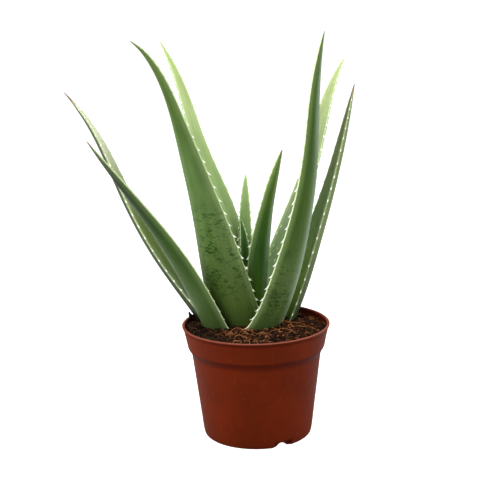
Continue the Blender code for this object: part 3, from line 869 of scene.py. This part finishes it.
def pot_inside():
    """Radius and height from the lip down the inside to the floor."""
    floor = CHANNEL_HEIGHT + POT_WALL
    slope = (WALL_TOP_RADIUS - FOOT_RADIUS) / (WALL_TOP - FOOT_HEIGHT)
    lip_inner = LIP_RADIUS - LIP_WIDTH
    return [
        (lip_inner, POT_HEIGHT),
        (lip_inner - 0.5 * MM, POT_HEIGHT - 0.7 * MM),
        (lip_inner - 1.0 * MM, POT_HEIGHT - LIP_THICKENING_DEPTH),
        (BAND_RADIUS - POT_WALL, BAND_BOTTOM),
        (WALL_TOP_RADIUS - POT_WALL + STEP_OUT * 0.4, WALL_TOP + STEP_HEIGHT * 0.8),
        (WALL_TOP_RADIUS - POT_WALL, WALL_TOP),
        (FOOT_RADIUS - POT_WALL + slope * (floor - FOOT_HEIGHT), floor),
        (CENTRE_RADIUS + CHANNEL_DRAFT - POT_WALL * 0.8, floor),
        (CENTRE_RADIUS - POT_WALL * 0.8, POT_WALL),
    ]


def turned(name, profile, segments, material):
    """A closed solid turned round +Z from an outline that starts and ends on level faces."""
    angles = np.linspace(0, 2 * math.pi, segments, endpoint=False)
    rings = [[(r * math.cos(a), r * math.sin(a), z) for a in angles] for r, z in profile]
    points = np.array(rings).reshape(-1, 3)
    made = mesh_object(name, points, drum_faces(len(rings), segments), material)
    face_outwards(made)
    return made


def notch_cutter(heading):
    """A radial block with rounded long edges, which opens the foot."""
    bm = bmesh.new()
    bmesh.ops.create_cube(bm, size=1.0)
    bmesh.ops.scale(bm, vec=(NOTCH_DEPTH, NOTCH_WIDTH, 2 * FOOT_HEIGHT), verts=bm.verts)
    radial = [e for e in bm.edges if abs(e.verts[0].co.x - e.verts[1].co.x) > 1 * MM]
    bmesh.ops.bevel(bm, geom=radial, offset=NOTCH_CORNER, segments=4, profile=0.5, affect="EDGES")
    bmesh.ops.triangulate(bm, faces=bm.faces)
    bmesh.ops.rotate(bm, cent=(0, 0, 0), matrix=Matrix.Rotation(heading, 3, "Z"), verts=bm.verts)
    reach = (FOOT_RADIUS * math.cos(heading), FOOT_RADIUS * math.sin(heading), 0.0)
    bmesh.ops.translate(bm, vec=reach, verts=bm.verts)
    return cutter_object("notch", bm)


def hole_cutter(heading):
    """An upright pin, which opens a drain hole through the channel's floor."""
    ring = (CENTRE_RADIUS + FOOT_RADIUS - FOOT_CURVE_IN - FOOT_RING_WIDTH) / 2
    bm = bmesh.new()
    bmesh.ops.create_cone(bm, cap_ends=True, segments=HOLE_SEGMENTS, radius1=HOLE_RADIUS, radius2=HOLE_RADIUS,
                          depth=6 * POT_WALL)
    place = (ring * math.cos(heading), ring * math.sin(heading), CHANNEL_HEIGHT + POT_WALL / 2)
    bmesh.ops.translate(bm, vec=place, verts=bm.verts)
    bmesh.ops.triangulate(bm, faces=bm.faces)
    return cutter_object("drain_hole", bm)


def cutter_object(name, bm):
    mesh = bpy.data.meshes.new(name)
    bm.to_mesh(mesh)
    bm.free()
    made = bpy.data.objects.new(name, mesh)
    bpy.context.scene.collection.objects.link(made)
    return made


def make_pot():
    profile = rounded(pot_outside() + pot_inside(), CORNER_RADIUS)
    pot = turned("pot_shell", profile, POT_SEGMENTS, pot_skin())
    for i in range(NOTCH_COUNT):
        cut(pot, notch_cutter(math.radians(NOTCH_HEADING + 360 / NOTCH_COUNT * i)))
    for i in range(HOLE_COUNT):
        cut(pot, hole_cutter(2 * math.pi * i / HOLE_COUNT))
    pot.data.shade_smooth()
    pot.data.set_sharp_from_angle(angle=math.radians(POT_SHARP_ANGLE))
    show(pot, "pot_plastic", "pot")


# ---------------------------------------------------------------- soil


def soil_height(x, y):
    """The uneven surface: low swells on a slope, a little higher towards the middle."""
    swell = math.sin(x / SWELL_LENGTH[0] + SWELL_PHASE[0]) * math.cos(y / SWELL_LENGTH[1] + SWELL_PHASE[1])
    middle = 1 - min(1.0, math.hypot(x, y) / LIP_RADIUS) ** 2
    slope = x * SOIL_SLOPE[0] + y * SOIL_SLOPE[1]
    return SOIL_LEVEL + SOIL_MOUND * (0.5 * swell + middle) + slope


def rough_height(x, y):
    """The level with its crumbly lumps."""
    height = soil_height(x, y)
    for scale, rise in SOIL_LUMPS:
        height += rise * noise.noise(Vector((x * scale, y * scale, scale)))
    return height


def make_soil():
    """A closed body that fills the pot, with a crumbly top."""
    side = [(r - GAP, z) for r, z in reversed(pot_inside()) if z <= BAND_BOTTOM]
    side = [(r, z + GAP if z < WALL_TOP / 2 else z) for r, z in side]
    radii = np.linspace(SOIL_RADIUS, SOIL_INNER_RADIUS, SOIL_RINGS)
    angles = np.linspace(0, 2 * math.pi, SOIL_SEGMENTS, endpoint=False)
    rings = [[(r * math.cos(a), r * math.sin(a), z) for a in angles] for r, z in side]
    for radius in radii:
        level = [(radius * math.cos(a), radius * math.sin(a)) for a in angles]
        rings.append([(x, y, rough_height(x, y)) for x, y in level])
    points = np.array(rings).reshape(-1, 3)
    soil = mesh_object("soil_bed", points, drum_faces(len(rings), SOIL_SEGMENTS), soil_skin())
    face_outwards(soil)
    show(soil, "soil", "soil")


def lump(rng, middle, size):
    """Points and faces of one irregular crumb."""
    bm = bmesh.new()
    bmesh.ops.create_icosphere(bm, subdivisions=1 if size < 1.3 * MM else 2, radius=1.0)
    stretch = rng.uniform([0.7, 0.5, 0.35], [1.3, 0.9, 0.7]) * size / 2
    turn = np.array(Euler(rng.uniform(-math.pi, math.pi, 3)).to_matrix())
    offset = rng.uniform(0, 50, 3)
    points = []
    for v in bm.verts:
        rough = 1 + 0.55 * noise.noise(Vector(np.array(v.co) * 1.3 + offset))
        points.append(turn @ (np.array(v.co) * rough * stretch) + middle)
    bm.verts.index_update()
    faces = [tuple(v.index for v in f.verts) for f in bm.faces]
    bm.free()
    return points, faces


def strand(rng, start, heading, length, radius, curl, lift):
    """Points and faces of one thin fibre that lies over the soil."""
    steps = max(8, int(length / (1.2 * MM)))
    path = [np.array(start[:2], float)]
    turn = heading
    for i in range(steps):
        turn += curl / steps + rng.uniform(-0.12, 0.12)
        path.append(path[-1] + np.array([math.cos(turn), math.sin(turn)]) * length / steps)
    path = np.array(path)
    t = np.linspace(0, 1, len(path))
    ground = np.array([soil_height(x, y) for x, y in path])
    line = np.column_stack([path, ground + radius + lift * np.sin(math.pi * t) + 0.2 * MM])
    return tube_along(line, radius * (1 - 0.6 * np.abs(2 * t - 1) ** 3))


def tube_along(line, radii, sides=6):
    """Points and faces of a closed tube along a line."""
    run = np.gradient(line, axis=0)
    run /= np.linalg.norm(run, axis=1)[:, None]
    side = np.cross(run, UP)
    side /= np.maximum(np.linalg.norm(side, axis=1), 1e-9)[:, None]
    top = np.cross(side, run)
    angles = np.linspace(0, 2 * math.pi, sides, endpoint=False)
    points = line[:, None] + np.asarray(radii)[:, None, None] * (
        np.cos(angles)[None, :, None] * side[:, None] + np.sin(angles)[None, :, None] * top[:, None])
    return list(points.reshape(-1, 3)), tube_faces(len(line), sides)


def joined(name, bits, shades, material):
    """One object of many small closed bits, each with its own shade."""
    points = []
    faces = []
    own = []
    for (bit_points, bit_faces), shade in zip(bits, shades):
        first = len(points)
        points += bit_points
        faces += [tuple(first + i for i in face) for face in bit_faces]
        own += [shade] * len(bit_points)
    made = mesh_object(name, points, faces, material, {"own_shade": own})
    face_outwards(made)
    return made


def on_soil(rng, reach=1.0):
    """A place on the soil, as likely anywhere."""
    radius = LITTER_RADIUS * math.sqrt(rng.uniform()) * reach
    angle = rng.uniform(0, 2 * math.pi)
    return radius * math.cos(angle), radius * math.sin(angle)


def make_crumbs():
    """Coir and bark crumbs over the bed, with a dark clump that leans on the back left of the rim."""
    rng = np.random.default_rng(RANDOM_SEED + 100)
    smallest, largest = CRUMB_SIZE
    bits = []
    shades = []
    for _ in range(CRUMB_COUNT):
        x, y = on_soil(rng)
        size = (smallest + (largest - smallest) * rng.uniform() ** 3) * MM
        middle = np.array([x, y, rough_height(x, y) + 0.15 * size])
        bits.append(lump(rng, middle, size))
        shades.append(rng.uniform() ** 1.5 * np.interp(x, PEAT_EDGE, (0.3, 1.0)))
    for t in np.linspace(0, 1, CLUMP_COUNT):
        middle = (1 - t) * CLUMP_TOP + t * CLUMP_FOOT + rng.normal(0, 0.8, 3) * MM
        bits.append(lump(rng, middle, rng.uniform(2.0, 3.8) * MM))
        shades.append(rng.uniform(0, 0.12))
    crumbs = joined("soil_crumbs", bits, shades, crumb_skin("coir_crumb", *CRUMB_SHADES))
    show(crumbs, "soil")


def make_fibres():
    """Curled coir strands all over the bed, and a few long pale roots that arch over it."""
    rng = np.random.default_rng(RANDOM_SEED + 200)
    bits = []
    shades = []
    for _ in range(FIBRE_COUNT):
        x, y = on_soil(rng, 0.95)
        bits.append(strand(rng, (x, y), rng.uniform(0, 2 * math.pi), rng.uniform(3, 11) * MM,
                           rng.uniform(0.14, 0.42) * MM, rng.uniform(-3.5, 3.5), rng.uniform(0.2, 2.2) * MM))
        shades.append(rng.uniform() ** 2.8 * np.interp(x, PEAT_EDGE, (0.3, 1.0)))
    for x, y, heading, length, curl, lift in LONG_ROOTS:
        start = (x * MM, y * MM)
        bits.append(strand(rng, start, math.radians(heading), length * MM, ROOT_RADIUS, curl, lift * MM))
        shades.append(1.0)
    fibres = joined("coir_fibres", bits, shades, crumb_skin("coir_fibre", *FIBRE_SHADES))
    show(fibres, "soil")


# ---------------------------------------------------------------- studio


def make_floor():
    bpy.ops.mesh.primitive_plane_add(size=FLOOR_SIZE)
    floor = bpy.context.object
    floor.name = "studio_floor"
    floor.data.materials.append(floor_skin())


def soft_light(name, place, power, size):
    lamp = bpy.data.lights.new(name, "AREA")
    lamp.shape = "SQUARE"
    lamp.size = size
    lamp.energy = power
    made = bpy.data.objects.new(name, lamp)
    made.location = place
    made.rotation_mode = "QUATERNION"
    made.rotation_quaternion = (Vector(place) - Vector(LIGHT_AIM)).to_track_quat("Z", "Y")
    bpy.context.scene.collection.objects.link(made)


def studio_world():
    """White walls round a dimmer ceiling."""
    world = bpy.data.worlds.new("studio_world")
    world.use_nodes = True
    nodes, links = world.node_tree.nodes, world.node_tree.links
    direction = nodes.new("ShaderNodeTexCoord")
    parts = nodes.new("ShaderNodeSeparateXYZ")
    links.new(direction.outputs["Generated"], parts.inputs[0])
    fade = nodes.new("ShaderNodeMapRange")
    fade.interpolation_type = "SMOOTHSTEP"
    links.new(parts.outputs["Z"], fade.inputs["Value"])
    limits = {"From Min": 0.05, "From Max": 0.35, "To Min": WALL_LIGHT, "To Max": CEILING_LIGHT}
    for socket, value in limits.items():
        fade.inputs[socket].default_value = value
    background = nodes["Background"]
    background.inputs["Color"].default_value = (1.0, 1.0, 1.0, 1.0)
    links.new(fade.outputs["Result"], background.inputs["Strength"])
    return world


def make_studio():
    bpy.context.scene.world = studio_world()
    for name, place, power, size in SOFT_LIGHTS:
        soft_light(name, place, power, size)
    bpy.context.scene.view_settings.view_transform = "Standard"


def make_camera():
    """Looks a little down on the plant, turned very slightly about its own axis."""
    down = math.radians(CAMERA_DOWN)
    roll = math.radians(CAMERA_ROLL)
    ahead = Vector((0, math.cos(down), -math.sin(down)))
    right = Vector((1, 0, 0))
    up = right.cross(ahead)
    turned_right = math.cos(roll) * right + math.sin(roll) * up
    turned_up = math.cos(roll) * up - math.sin(roll) * right
    data = bpy.data.cameras.new("camera")
    data.lens = CAMERA_LENS
    data.sensor_width = SENSOR_WIDTH
    camera = bpy.data.objects.new("camera", data)
    camera.matrix_world = Matrix.Translation(CAMERA_PLACE) @ Matrix(
        (turned_right, turned_up, -ahead)).transposed().to_4x4()
    bpy.context.scene.collection.objects.link(camera)
    bpy.context.scene.camera = camera


def dress_stem():
    """The stem keeps its own solid, because the soil and the leaves hide it."""
    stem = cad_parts["stem"]
    stem.data.materials.clear()
    stem.data.materials.append(stem_skin())


def main():
    make_camera()
    make_studio()
    make_floor()
    make_pot()
    make_soil()
    make_crumbs()
    make_fibres()
    dress_stem()
    by_name = {leaf.name: leaf for leaf in LEAVES}
    for number, leaf in enumerate(LEAVES):
        make_leaf(leaf, number, by_name)


main()
